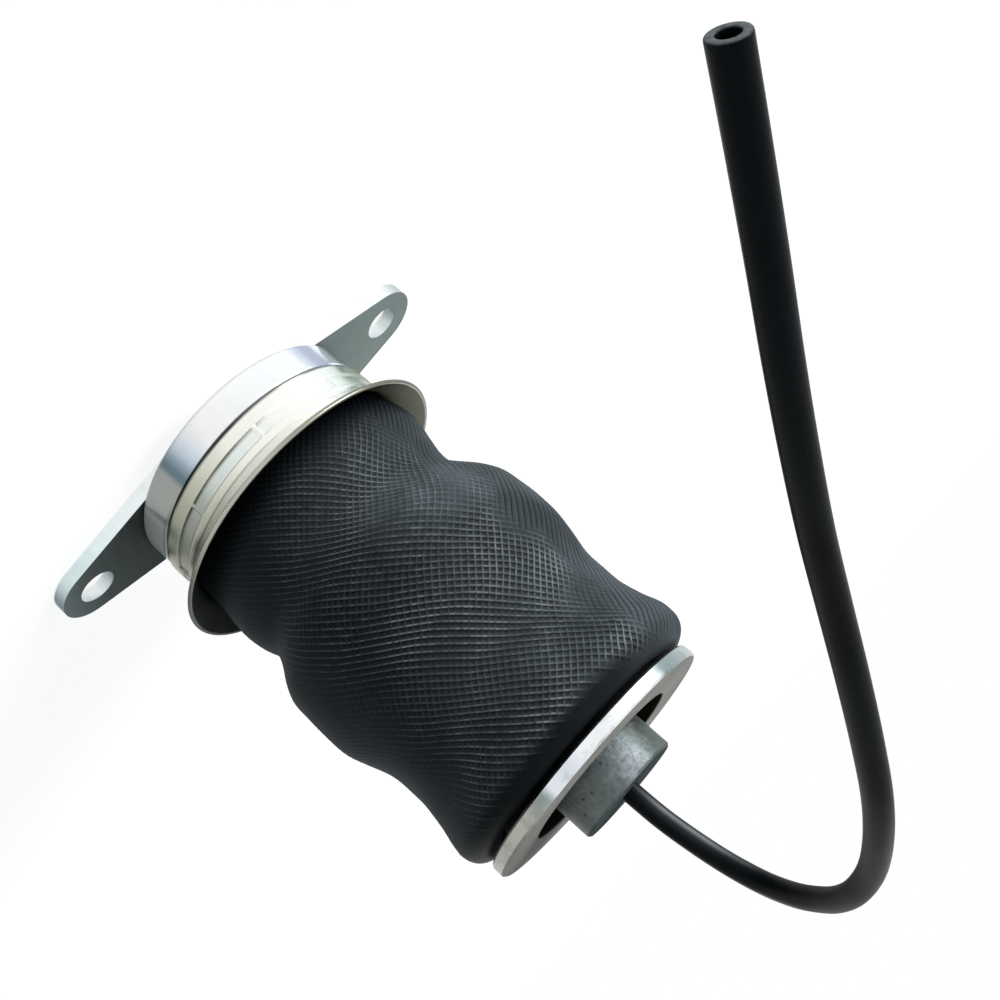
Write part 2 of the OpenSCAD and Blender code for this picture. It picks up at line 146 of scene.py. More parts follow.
def make_hose(sides=40):
    """The hose as one closed skin: along its outside, round its cut end and back through its bore."""
    end = len(line) - 1
    profile = [(i, HOSE_R, 0) for i in range(end)]
    profile += [(end, HOSE_R, -1.6 * BEVEL), (end, HOSE_R - 0.12 * BEVEL, -0.7 * BEVEL),
                (end, HOSE_R - 0.45 * BEVEL, -0.2 * BEVEL), (end, HOSE_R - BEVEL, 0)]
    profile += [(end, BORE_R + 0.7 * BEVEL, 0), (end, BORE_R + 0.2 * BEVEL, -0.2 * BEVEL),
                (end, BORE_R, -0.8 * BEVEL)]
    profile += [(i, BORE_R, 0) for i in range(end - 1, -1, -1)]
    ob = new_object("air_hose_skin", swept(line, profile, sides), ring_faces(len(profile), sides))
    # The cut face and half of the bevels beside it
    cut = np.zeros(len(profile))
    cut[end + 2:end + 6] = (0.5, 1.0, 1.0, 0.5)
    # A painted highlight, as a pale streak on the first bend, along the hose by its rings and round it in
    # degrees
    ring = np.arange(len(profile))
    along = np.interp(ring, (16, 28, 43, 60), (0, 1, 1, 0))
    degrees = (np.arange(sides) * 360 / sides + 180) % 360 - 180
    streak = np.exp(-((degrees + 31) / 13) ** 2) + 0.12 * np.exp(-((degrees + 8) / 28) ** 2)
    # The second bend is matt
    matt = np.interp(ring, (60, 76, 104, 125), (0, 1, 1, 0))
    paint(ob, cut=np.repeat(cut, sides), streak=np.outer(along, streak), matt=np.repeat(matt, sides))
    return ob


hose = make_hose()
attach(hose, "head")
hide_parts("air_hose")

# Bellows, in millimetres
# Outer radius against height on three sides: the two outlines in the photograph and the front between them
heights = [30, 36, 42, 49.4, 56, 63.3, 69, 74.2, 79, 83.9, 92, 101.6, 109, 116.2, 125, 133.6, 141, 148.8,
           156, 160]
side_a = [45.8, 46.4, 47.8, 47.4, 45.4, 43.7, 44.5, 47.8, 51.3, 53.6, 54.4, 54.8, 54.2, 52.4, 49.8, 49.7,
          50.0, 51.4, 53.4, 53.3]
side_b = [45.8, 45.8, 46.0, 46.8, 47.3, 46.6, 45.0, 47.2, 50.3, 52.4, 53.1, 53.1, 52.5, 50.7, 48.6, 47.9,
          47.4, 48.4, 50.5, 51.3]
front = [45.8, 46.2, 47.4, 48.2, 47.6, 46.6, 47.0, 48.6, 50.4, 52.0, 53.0, 53.2, 52.6, 51.2, 49.4, 48.6,
         48.8, 49.9, 51.6, 52.0]
FOLD_TURN = math.radians(10)
# The rubber's slight waves: each one's height, its count round the spring, its slant and its start
WAVES = ((0.35, 3, 9, 0), (0.3, 5, -7, 1.3), (0.22, 7, 5, 0.4))
# The heights where they start and end, and over what height they grow and fade there
WAVES_FROM, WAVES_GROW, WAVES_TO, WAVES_FADE = 46, 20, 158, 16
# The roll at the head: its middle radius, the height where it starts, its rise, the radius that its length
# is measured by, and the power of its curve, where 1 is an ellipse
ROLL_MID, ROLL_Z, ROLL_H, ROLL_R, ROLL_POWER = 44.25, 159.0, 8.0, 7.8, 0.92
# The degrees up from the roll's outside where the corded shoulder ends
SHOULDER = 58
# The rubber's thickness, then the inner radius and the lower end of its tail inside the piston
RUBBER, TAIL_IN, TAIL_END = 2.5, 36.4, 129
# The edge that the sleeve holds on the can: its two radii and its lower end
EDGE_IN, EDGE_OUT, EDGE_Z = 43.4, 45.7, 18.6
# Cord lines each way round the bellows, and where a line's middle and its two feet lie from line to line
LINES = 106
LAP = 2 * math.pi / LINES
AROUND = 3 * LINES
PLACES = np.array([0, 0.17, 0.83])
# Heights over the rubber: where two lines cross, of the level lines, of the steep ones, and between lines
CROSS_H, LEVEL_H, STEEP_H, HOLLOW_H = 0.34, 0.42, 0.26, -0.08
# How far each set stands up, against the degrees from +X through +Y
LEVEL_RISE = ((0, 40, 72, 130, 155, 210, 250, 310, 360), (0.35, 0.35, 1, 1, 0.2, 0.3, 1, 0.8, 0.35))
STEEP_RISE = ((0, 45, 80, 130, 155, 210, 250, 310, 360), (1.5, 1.5, 1, 0.85, 0.2, 0.3, 1, 1.2, 1.5))
# The middle, half width and soft edge of the ribbed side in degrees, and the depth of its grooves
RIB_MID, RIB_HALF, RIB_SOFT, GROOVE = 20, 41, 18, 0.42
# The lines swing to and fro: by how much at the net's own radius, and over what height
SWING, NET_R, SWING_STEP = 0.9, 50, 33
# The height where they start to, over what height it grows, and over what length it ends at the shoulder
SWING_FROM, SWING_GROW, SWING_FADE = 40, 12, 25
# Where the lines end before the shoulder does, and over what length they fade there and by the can
LINE_END, FADE_TOP, FADE_LOW = 4.6, 3.5, 2
# Factors that make a sine jump from one whole number to the next
JUMP_A, JUMP_B, JUMP_C = 12.9898, 78.233, 43758.5453


def smooth_table(x, xs, ys):
    """A smooth curve through a table, by cubic steps with slopes from the neighbours."""
    xs, ys = np.array(xs, float), np.array(ys, float)
    slope = np.gradient(ys, xs)
    i = np.clip(np.searchsorted(xs, x) - 1, 0, len(xs) - 2)
    h = xs[i + 1] - xs[i]
    t = np.clip((x - xs[i]) / h, 0, 1)
    return ((2 * t ** 3 - 3 * t ** 2 + 1) * ys[i] + (t ** 3 - 2 * t ** 2 + t) * h * slope[i]
            + (3 * t ** 2 - 2 * t ** 3) * ys[i + 1] + (t ** 3 - t ** 2) * h * slope[i + 1])


def skin_radius(z, a):
    """The rubber's outer radius without its cords: the three sides blended, with slight waves between."""
    ra, rb, rf = (smooth_table(z, heights, s) for s in (side_a, side_b, front))
    mean, tilt, oval = (ra + rb) / 4 + rf / 2, (ra - rb) / 2, (ra + rb) / 4 - rf / 2
    r = mean + tilt * np.cos(a - FOLD_TURN) + oval * np.cos(2 * (a - FOLD_TURN))
    share = np.clip((z - WAVES_FROM) / WAVES_GROW, 0, 1) * np.clip((WAVES_TO - z) / WAVES_FADE, 0, 1)
    waves = sum(high * np.sin(count * a + z / slant + start) for high, count, slant, start in WAVES)
    return r + share * waves


# The skin's line from the sleeve up and over the roll's shoulder, by its length
skin_z = np.linspace(heights[0], ROLL_Z, 131)
skin_steps = np.hypot(np.diff(skin_z), np.diff(skin_radius(skin_z, math.pi / 2)))
skin_run = np.concatenate([[0], np.cumsum(skin_steps)])
roll_run = ROLL_R * math.radians(SHOULDER)
full_run = skin_run[-1] + roll_run
net_rows = int(round(full_run / (LAP * NET_R))) * 2
net_top = 3 * net_rows


def place(index):
    """A point's place across a set of lines, counted in lines: whole numbers are their middles."""
    return index // 3 + PLACES[index % 3]


def roll(reach, degrees):
    """A point of the roll as its distance from the roll's middle and its height: 90 degrees is the crown."""
    c, s = np.cos(np.radians(degrees)), np.sin(np.radians(degrees))
    return reach * np.sign(c) * np.abs(c) ** ROLL_POWER, ROLL_Z + ROLL_H * np.abs(s) ** ROLL_POWER


def chevron(x):
    """A wave of straight slopes with soft corners, from -1 to 1."""
    return 2 / math.pi * np.arcsin(np.sin(2 * math.pi * x) * 0.97)


def patches(a, h, seed):
    """A slow uneven field from 0 to 1 over the skin."""
    waves = np.sin(6 * a + h / 6 + seed) + np.sin(9 * a - h / 4.5 + 2.3 * seed)
    return np.clip(0.5 + 0.3 * (waves + np.sin(4 * a + h / 9 - 1.7 * seed)), 0, 1)


def chance(i, k):
    """A number from 0 to 1 that jumps from cell to cell."""
    return np.sin(i * JUMP_A + k * JUMP_B) * JUMP_C % 1


def cord_relief(steep_at, level_at, angle, length):
    """The cords' height at each point, and three tones: pale dashes, pale ribs and the painted shade of the
    hollows.

    The dashes lie on the level lines, the ribs on the steep ones and the hollows between the lines.
    """
    level, steep, between = level_at % 3 == 0, steep_at % 3 == 0, level_at % 3 == 1
    bearing = np.degrees(angle) % 360
    raised = np.where(level & steep, CROSS_H, np.where(level, LEVEL_H, np.where(steep, STEEP_H, 0)))
    raised = np.where(between & ~steep, HOLLOW_H, raised)
    level_rise, steep_rise = np.interp(bearing, *LEVEL_RISE), np.interp(bearing, *STEEP_RISE)
    rise = np.where(level, np.where(steep, np.maximum(level_rise, steep_rise), level_rise), steep_rise)
    # How much is left of the lines where they are worn, unevenly along their run
    level_left, steep_left = (0.3 + 0.7 * patches(angle, length, seed) for seed in (1.0, 4.0))
    raised = np.where(raised > 0, raised * rise * np.where(level, level_left, steep_left) ** 0.7, raised)
    # From one crossing to the next a line is rubbed pale by a chance of its own
    cell = chance(steep_at // 3, level_at // 3)
    dash = np.where(level, np.where(steep, 0.05, 0.55 + 0.45 * cell), 0.0) * level_left
    rib = np.where(steep, np.where(level, 0.7, 0.7 + 0.3 * cell), 0.0) * steep_left
    # Painted shade in the hollows between the lines
    hollow = between.astype(float)
    # On the +X side the steep lines turn gradually into narrow grooves between wide ribs
    from_side = np.abs((bearing - RIB_MID + 180) % 360 - 180)
    uneven = 0.9 * (patches(angle, length, 2.0) - 0.5)
    grooved = np.clip((RIB_HALF - from_side) / RIB_SOFT + uneven, 0, 1)
    raised = np.where(steep, raised * (1 - grooved) - GROOVE * grooved, raised * (1 - 0.8 * grooved ** 3))
    dash *= 1 - 0.75 * grooved ** 3
    rib *= 1 - grooved
    # Painted shade also fills the grooves on the ribbed side
    hollow = np.where(steep, np.maximum(hollow * (1 - grooved), grooved), hollow * (1 - grooved))
    return raised, dash, rib, hollow


def cord_fade(steep_at, level_at, angle, length, z):
    """1 along the lines, fading to 0 where each ends at its own length on the roll, and by the can."""
    steep_own = np.sin(JUMP_A * (steep_at // 3))
    level_own = 1.4 * np.sin(JUMP_B * (level_at // 3 % LINES)) + 0.6
    own = np.where(steep_at % 3 == 0, steep_own, level_own)
    # The lines run on further on the +X side
    longer = 12 * np.clip(np.cos(angle - math.radians(15)) - 0.5, 0, 0.45)
    end = full_run - LINE_END + 1.1 * own + 0.8 * np.sin(3 * angle + 0.6) + longer
    return np.clip((end - length) / FADE_TOP, 0, 1) * np.clip((z - heights[0] - 1) / FADE_LOW, 0, 1)


def corded_skin():
    """The net's points, ring by ring from the sleeve to the roll's shoulder, and its tones.

    Two sets of lines cross on it at 45 degrees to the axis, called level and steep after their run in the
    photo. Each point has a number in both sets: every third is a line's middle, the others are its feet.
    """
    steep_at, step = np.meshgrid(np.arange(AROUND), np.arange(net_top + 1), indexing="ij")
    level_at = steep_at + step
    u, v = place(level_at), place(steep_at)
    angle = LAP * (u + v) / 2
    length = (u - v) / net_rows * full_run
    z = np.interp(length, skin_run, skin_z)
    turn = np.clip((length - skin_run[-1]) / roll_run, 0, 1) * SHOULDER
    free = np.clip((z - SWING_FROM) / SWING_GROW, 0, 1) * np.clip((full_run - length) / SWING_FADE, 0, 1)
    angle = angle + free * SWING / NET_R * chevron((z + 10 * np.sin(angle - 0.6)) / SWING_STEP)
    raised, dash, rib, hollow = cord_relief(steep_at, level_at, angle, length)
    fade = cord_fade(steep_at, level_at, angle, length, z)
    ridge = raised * fade
    roll_r, roll_z = roll(skin_radius(np.full_like(angle, ROLL_Z), angle) - ROLL_MID, turn)
    r = np.where(turn > 0, ROLL_MID + roll_r, skin_radius(z, angle)) + ridge * np.cos(np.radians(turn))
    z = np.where(turn > 0, roll_z, z) + ridge * np.sin(np.radians(turn))
    points = np.stack([r * np.cos(angle), r * np.sin(angle), z], axis=-1).transpose(1, 0, 2).reshape(-1, 3)
    tones = {"dash": dash, "rib": rib, "hollow": hollow}
    return points, {name: (tone * fade).T.reshape(-1) for name, tone in tones.items()}


def net_faces():
    """Diamonds between the net's points, with triangles along its lowest and highest rings."""
    n, top = AROUND, net_top
    faces = []
    for k in range(1, top):
        faces += [(k * n + j, (k - 1) * n + (j + 1) % n, k * n + (j + 1) % n, (k + 1) * n + j)
                  for j in range(n)]
    faces += [(j, (j + 1) % n, n + j) for j in range(n)]
    faces += [(top * n + j, (top - 1) * n + (j + 1) % n, top * n + (j + 1) % n) for j in range(n)]
    return faces


def inner_rings():
    """From the shoulder over the crown and down inside the piston, then back as the rubber's inner wall."""
    around = LAP * (place(np.arange(AROUND)) + net_rows / 2)
    outer_r = skin_radius(np.full(AROUND, ROLL_Z), around)
    rows = [roll(outer_r - ROLL_MID, step) for step in np.linspace(SHOULDER + 6, 90, 5)]
    rows += [roll(ROLL_MID - TAIL_IN, step) for step in np.linspace(100, 180, 8)]
    rows = [(ROLL_MID + across, h) for across, h in rows]
    tail = [156, 150, 140]
    rows += [(TAIL_IN, h) for h in tail + [TAIL_END]]
    rows += [(TAIL_IN + RUBBER, h) for h in [TAIL_END - 0.6] + tail[::-1]]
    for step in np.linspace(170, 10, 9):
        c, s = math.cos(math.radians(step)), math.sin(math.radians(step))
        across = np.where(c < 0, ROLL_MID - TAIL_IN, outer_r - ROLL_MID) - RUBBER
        rows.append((ROLL_MID + across * c, ROLL_Z + (ROLL_H - RUBBER) * s))
    rows += [(skin_radius(np.full(AROUND, float(h)), around) - RUBBER, h) for h in np.linspace(158, 32, 43)]
    rows += [(EDGE_IN, h) for h in (30, 25, EDGE_Z)] + [(EDGE_OUT, h) for h in (EDGE_Z, 22, 26)]
    rings = []
    for radius, height in rows:
        radius, height = np.broadcast_to(radius, AROUND), np.full(AROUND, float(height))
        rings.append(np.stack([radius * np.cos(around), radius * np.sin(around), height], -1))
    return rings


def make_bellows():
    """The corded outside and the inner rings as one closed skin."""
    net, tones = corded_skin()
    rings = inner_rings()
    starts = [net_top * AROUND] + [len(net) + k * AROUND for k in range(len(rings))]
    faces = net_faces()
    for lower, upper in zip(starts, starts[1:]):
        faces += band(lower, upper, AROUND)
    # The inner rings start half of net_rows laps further round than the net's lowest ring
    faces += band(starts[-1], 0, AROUND, 3 * net_rows // 2)
    ob = new_object("bellows_skin", np.concatenate([net] + rings) * MM, faces)
    plain = np.zeros(len(rings) * AROUND)
    paint(ob, **{name: np.concatenate([tone, plain]) for name, tone in tones.items()})
    return ob


bellows = make_bellows()
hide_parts("bellows")
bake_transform(bellows)


# Guide sleeve, in millimetres and degrees
SLEEVE_R, WALL, FOOT, BEND_Z, BEND_R, FLARE, RIM_R = 47.5, 1.5, 18.8, 30.12, 5.0, 50, 56.5
# The height over which the sheet's lower edge is rounded
FOOT_ROUND = 0.45
CRIMPS, CRIMP_TOP, CRIMP_H, CRIMP_DEEP, CRIMP_TURN = 9, 29.52, 5.2, 0.6, 11.5
CRIMP_FOOT = CRIMP_TOP - CRIMP_H
# The degrees between two crimps, and how wide a crimp's slopes are: degrees at its sides, height at its ends
LAND, SIDE_SLOPE, END_SLOPE = 1.6, 0.35, 0.3
# How much painted shade a crimp's level edges get, against the height above the lower one
EDGE_MARKS = {0.0: 0.6, 0.14: 1.0, 0.32: 1.0, 0.6: 0.6,
              round(CRIMP_H - 0.32, 2): 0.8, round(CRIMP_H - 0.14, 2): 1.0}
# The crease at the foot of the flare: between these heights, this deep
CREASE_LOW, CREASE_HIGH, CREASE_DEEP = 32.4, 33.4, 0.12


def sheet_line():
    """Rows of radius, height and side up the outside, over the rim and down inside, where side is 1."""
    parts = 8
    rows = [(SLEEVE_R - WALL, FOOT, 1), (SLEEVE_R - 0.9, FOOT, 0), (SLEEVE_R - 0.45, FOOT + 0.02, 0),
            (SLEEVE_R - 0.14, FOOT + 0.14, 0), (SLEEVE_R, FOOT + FOOT_ROUND, 0)]
    levels = [20, 21.5, 23, 23.9] + [CRIMP_FOOT + past for past in (-0.15, 0, 0.14, 0.32, 0.6, 1.4)]
    levels += [27, 28] + [CRIMP_TOP + past for past in (-0.6, -0.32, -0.14, 0, 0.15)] + [BEND_Z - 0.2]
    rows += [(SLEEVE_R, h, 0) for h in levels]
    mid = SLEEVE_R + BEND_R
    for k in range(parts + 1):
        a = math.radians(180 - FLARE * k / parts)
        rows.append((mid + BEND_R * math.cos(a), BEND_Z + BEND_R * math.sin(a), 0))
    out, rise = math.sin(math.radians(FLARE)), math.cos(math.radians(FLARE))
    run = (RIM_R - SLEEVE_R - BEND_R * (1 - rise)) / out
    start = rows[-1]
    lip = (start[0] + run * out, start[1] + run * rise)
    rows += [(start[0] + run * out * t, start[1] + run * rise * t, 0)
             for t in (0.12, 0.2, 0.28, 0.36, 0.6, 0.84, 1)]
    cx, cz = lip[0] - WALL / 2 * rise, lip[1] + WALL / 2 * out
    for k in range(1, parts):
        a = math.radians(-FLARE + 180 * k / parts)
        rows.append((cx + WALL / 2 * math.cos(a), cz + WALL / 2 * math.sin(a), 0.0 if k < 6 else 0.5))
    for k in range(parts + 1):
        t = 1 - k / parts
        rows.append((start[0] - WALL * rise + run * out * t, start[1] + WALL * out + run * rise * t, 1))
    for k in range(1, parts + 1):
        a = math.radians(180 - FLARE * (1 - k / parts))
        rows.append((mid + (BEND_R + WALL) * math.cos(a), BEND_Z + (BEND_R + WALL) * math.sin(a), 1))
    return rows + [(SLEEVE_R - WALL, 27, 1), (SLEEVE_R - WALL, 22, 1)]


def make_sleeve(sides=720):
    """The sheet turned round the axis with its crimps: inset is 1 in them, and line is 1 on edges with
    painted shade.
    """
    turn = np.arange(sides) * 360 / sides
    step = 360 / CRIMPS
    past = (turn - CRIMP_TURN - LAND / 2) % step
    near = np.minimum(past, step - LAND - past)
    across = np.clip(near / SIDE_SLOPE + 0.5, 0, 1)
    rows = sheet_line()
    rings, inset, dark = [], [], []
    for r, h, side in rows:
        outside = side == 0
        pressed = np.clip(min(h - CRIMP_FOOT, CRIMP_TOP - h) / END_SLOPE + 0.1, 0, 1) if outside else 0.0
        radius = r - CRIMP_DEEP * (across * pressed)
        # Painted shade on the crimps' slopes and along their edges
        slope = 4 * pressed * (1 - pressed) * (0.8 if h > CRIMP_FOOT + CRIMP_H / 2 else 1.0)
        level_mark = EDGE_MARKS.get(round(h - CRIMP_FOOT, 2), slope)
        mark = level_mark * across + 0.8 * across * (1 - across) * pressed
        # Painted shade along the rounded foot, in the groove by the can
        if outside and h <= FOOT + FOOT_ROUND:
            mark = mark + 1.0
        # The crease, set in and given painted shade
        if outside and CREASE_LOW < h < CREASE_HIGH:
            radius = radius - CREASE_DEEP
            mark = mark + 0.55
        rings.append(np.stack([radius * np.cos(np.radians(turn)), radius * np.sin(np.radians(turn)),
                               np.full(sides, h)], -1))
        inset.append(np.full(sides, float(pressed)))
        dark.append(np.clip(mark, 0, 1))
    ob = new_object("guide_sleeve_skin", np.concatenate(rings) * MM, ring_faces(len(rings), sides))
    # A face has the inside's material where both its rings are inside
    within = [side == 1 for r, h, side in rows]
    both = [within[k] and within[(k + 1) % len(within)] for k in range(len(within))]
    ob.data.polygons.foreach_set("material_index", np.repeat(np.array(both, int), sides))
    paint(ob, inset=inset, line=dark)
    return ob


sleeve = make_sleeve()
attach(sleeve, "base")
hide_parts("guide_sleeve")


# Materials
# Places in them are metres, and degrees run from +X through +Y. Tones are screen colours such as 5f6662.
class Shader:
    """A Principled material with short calls for its nodes."""

    def __init__(self, name, rough, metallic=0.0, **fixed):
        self.mat = bpy.data.materials.new(name)
        self.mat.use_nodes = True
        self.tree = self.mat.node_tree
        self.bsdf = self.tree.nodes["Principled BSDF"]
        self.bsdf.inputs["Roughness"].default_value = rough
        self.bsdf.inputs["Metallic"].default_value = metallic
        for key, value in fixed.items():
            self.bsdf.inputs[key.replace("_", " ")].default_value = value
        spot = self.add("ShaderNodeTexCoord")
        self.coords, self.facing = spot.outputs["Object"], spot.outputs["Normal"]

    def add(self, kind, **inputs):
        node = self.tree.nodes.new(kind)
        for key, value in inputs.items():
            self.set(node.inputs[key.replace("_", " ")], value)
        return node

    def set(self, socket, value):
        if isinstance(value, bpy.types.NodeSocket):
            self.tree.links.new(value, socket)
        else:
            socket.default_value = value

    def scaled(self, x, y, z):
        """The place in the object with its axes scaled apart, for stretched noise."""
        node = self.add("ShaderNodeMapping", Vector=self.coords)
        node.inputs["Scale"].default_value = (x, y, z)
        return node.outputs[0]

    def part(self, vector, index):
        return self.add("ShaderNodeSeparateXYZ", Vector=vector).outputs[index]

    def attribute(self, name):
        node = self.add("ShaderNodeAttribute")
        node.attribute_name = name
        return node.outputs["Fac"]

    def radius(self):
        """Distance from the spring's axis."""
        x, y = self.part(self.coords, 0), self.part(self.coords, 1)
        return self.math("SQRT", self.total(self.product(x, x), self.product(y, y)))

    def around(self, *stops):
        """A tone that changes round the axis, from (degrees from +X through +Y, tone) pairs."""
        angle = self.math("ARCTAN2", self.part(self.coords, 1), self.part(self.coords, 0))
        share = self.math("FRACT", self.math("DIVIDE", angle, 2 * math.pi))
        return self.ramp(share, *[(at / 360, tone) for at, tone in stops], (1.0, stops[0][1]))

    def noise(self, scale, detail=3.0, rough=0.55, at=None):
        node = self.add("ShaderNodeTexNoise", Vector=at or self.coords, Scale=scale, Detail=detail)
        node.inputs["Roughness"].default_value = rough
        return node.outputs["Fac"]

    def ramp(self, value, *stops):
        """Tones between (place, tone) stops: a tone is a screen colour or one number."""
        node = self.add("ShaderNodeValToRGB", Fac=value)
        e = node.color_ramp.elements
        while len(e) < len(stops):
            e.new(0.5)
        for item, (at, tone) in zip(e, stops):
            item.position = at
            item.color = (*(linear(tone) if isinstance(tone, str) else (tone,) * 3), 1)
        return node.outputs[0]

    def steps(self, value, lo, hi, a=0.0, b=1.0):
        """From a to b as the value goes from lo to hi."""
        node = self.add("ShaderNodeMapRange")
        for i, x in enumerate((value, lo, hi, a, b)):
            self.set(node.inputs[i], x)
        return node.outputs[0]

    def math(self, how, a, b=0.0):
        node = self.add("ShaderNodeMath")
        node.operation = how
        self.set(node.inputs[0], a)
        self.set(node.inputs[1], b)
        return node.outputs[0]

    def product(self, a, b):
        return self.math("MULTIPLY", a, b)

    def total(self, a, b):
        return self.math("ADD", a, b)

    def mix(self, share, a, b, how="MIX"):
        node = self.add("ShaderNodeMix")
        node.data_type = "RGBA"
        node.blend_type = how
        for i, x in ((0, share), (6, a), (7, b)):
            if isinstance(x, str):
                x = (*linear(x), 1)
            self.set(node.inputs[i], x)
        return node.outputs[2]

    def times(self, a, b):
        """The product of two colours."""
        return self.mix(1.0, a, b, "MULTIPLY")

    def sides(self, flat=0.55, upright=0.35):
        """1 on the upright sides of a flat piece, 0 on its flat faces."""
        return self.steps(self.math("ABSOLUTE", self.part(self.facing, 2)), flat, upright)

    def bump(self, height, strength, distance):
        return self.add("ShaderNodeBump", Height=height, Strength=strength, Distance=distance).outputs[0]

    def use(self, colour=None, rough=None, normal=None, metallic=None):
        """Gives the shader what is passed and returns its material."""
        looks = (("Base Color", colour), ("Roughness", rough), ("Normal", normal), ("Metallic", metallic))
        for key, value in looks:
            if value is not None:
                self.set(self.bsdf.inputs[key], value)
        return self.mat


def metal(name, low, mid, high, rough, metallic=1.0):
    """The cloudy tones, fine grain and rubbed marks of a plated or cast metal.

    Returns the shader with its colour, roughness and normal, as rubber() does.
    """
    s = Shader(name, rough, metallic)
    cloud, fine = s.noise(45, 4, 0.6), s.noise(900, 2, 0.6)
    marks = s.noise(1, 3, 0.7, s.scaled(420, 60, 420))
    colour = s.ramp(cloud, (0.34, low), (0.52, mid), (0.68, high))
    colour = s.mix(s.steps(fine, 0.45, 0.75, 0, 0.16), colour, low)
    worn = s.total(marks, s.product(cloud, 0.6))
    normal = s.bump(s.total(fine, marks), 0.25, 0.00012)
    return s, colour, s.steps(worn, 0.5, 1.1, rough * 0.75, rough * 1.35), normal


def plain_metal(*looks):
    s, colour, rough, normal = metal(*looks)
    return s.use(colour, rough, normal)


def plate_material():
    """Grey zinc with painted shade, darkest on the -X ear, and cut sides with a painted highlight that dulls
    at the ears' tips.
    """
    half, hole_at, hole_r = 85 * MM, 70 * MM, 6.75 * MM
    s, colour, rough, normal = metal("plate_zinc_grey", "8a9795", "8f9c9a", "94a19f", 0.45)
    s.bsdf.inputs["Specular IOR Level"].default_value = 0.0
    x, y = s.part(s.coords, 0), s.part(s.coords, 1)
    along = s.steps(x, -half, half)
    # Painted shade along the plate, darkest on the -X ear near the can
    shade = s.ramp(along, (0.0, 0.78), (0.09, 0.38), (0.22, 0.2), (0.5, 0.5), (0.78, 0.9), (1.0, 1.0))
    colour = s.times(colour, shade)
    drawn = s.steps(s.noise(1, 4, 0.7, s.scaled(260, 260, 60)), 0.3, 0.7, 0.92, 1.03)
    # The cut sides: a painted highlight along the plate, dull at the ears' tips
    cut = s.ramp(along, (0.0, "808d8d"), (0.012, "64757a"), (0.03, "b3c4c5"), (0.05, "d3e2e2"),
                 (0.12, "deeded"), (0.22, "f0f8f8"), (0.8, "fafdfd"), (0.94, "f2f8f8"), (1.0, "8d9c9c"))
    across = s.math("SUBTRACT", s.math("ABSOLUTE", x), hole_at)
    from_hole = s.math("SQRT", s.total(s.product(across, across), s.product(y, y)))
    # The holes' walls: painted light and shade by which way they face
    wall = s.steps(s.part(s.facing, 0), -1.0, 0.0)
    wall = s.ramp(wall, (0.0, "8f9b9b"), (0.45, "c9d2d2"), (1.0, "f4f9f9"))
    cut = s.mix(s.steps(from_hole, hole_r + 0.85 * MM, hole_r + 0.25 * MM), cut, wall)
    side = s.sides()
    colour = s.mix(side, colour, s.times(cut, drawn))
    rough = s.product(rough, s.steps(side, 0, 1, 1.1, 0.75))
    return s.use(colour, rough, normal, s.steps(side, 0, 1, 0.1, 1.0))


def can_material():
    """Bright drawn zinc: painted reflections that change round it, painted shade on its top edge on the -X
    side, with soft streaks along the axis.
    """
    fold_z, foot_z = 16.7 * MM, 6.2 * MM
    s = Shader("can_zinc_bright", 0.2, 0.7)
    # Painted reflections round the can
    tones = s.around((0, "8f9c9f"), (20, "8d9aa0"), (27, "93a2a8"), (30, "c3d0d6"), (33, "f2f8fb"),
                     (37, "e9f1f8"), (40, "a3adc4"), (46, "a9b4ca"), (50, "cdd9ea"), (55, "f6fafc"),
                     (108, "fdfdfd"), (114, "e3ebf4"), (118, "c5d3df"), (122, "93a7b1"), (126, "62777e"),
                     (128, "6d8187"), (130, "a0a5a1"), (143, "a4a7a1"), (149, "aaaeaa"), (152, "eef2ee"),
                     (155, "d8dfda"), (168, "dde5e0"), (185, "d5deda"), (210, "dfe4e4"), (245, "a4b0b3"),
                     (260, "eff2f2"), (324, "dde2e3"))
    # Painted shade on the can's top edge by the sleeve, on the -X side
    fold = s.around((0, 1.0), (138, 1.0), (148, 0.5), (165, 0.3), (200, 0.3), (230, 1.0))
    fold = s.mix(s.steps(s.part(s.coords, 2), fold_z - 0.5 * MM, fold_z + 0.5 * MM), (1, 1, 1, 1), fold)
    tones = s.times(tones, fold)
    streaks = s.noise(1, 5, 0.7, s.scaled(330, 330, 16))
    smudge = s.noise(60, 4, 0.6)
    colour = s.mix(s.steps(streaks, 0.52, 0.85, 0, 0.1), tones, "8b9597")
    colour = s.mix(s.steps(smudge, 0.55, 0.8, 0, 0.18), colour, "cfd2c8")
    # Darker in patches towards the can's foot
    foot = s.steps(s.part(s.coords, 2), foot_z + 1 * MM, foot_z - 1 * MM)
    colour = s.mix(s.product(foot, s.steps(smudge, 0.3, 0.6, 0.25, 0.6)), colour, "7b8482")
    normal = s.bump(s.total(streaks, smudge), 0.15, 0.0001)
    shine = s.around((0, 0.7), (142, 0.7), (152, 0.2), (200, 0.2), (230, 0.7))
    return s.use(colour, s.steps(streaks, 0.3, 0.75, 0.13, 0.3), normal, shine)


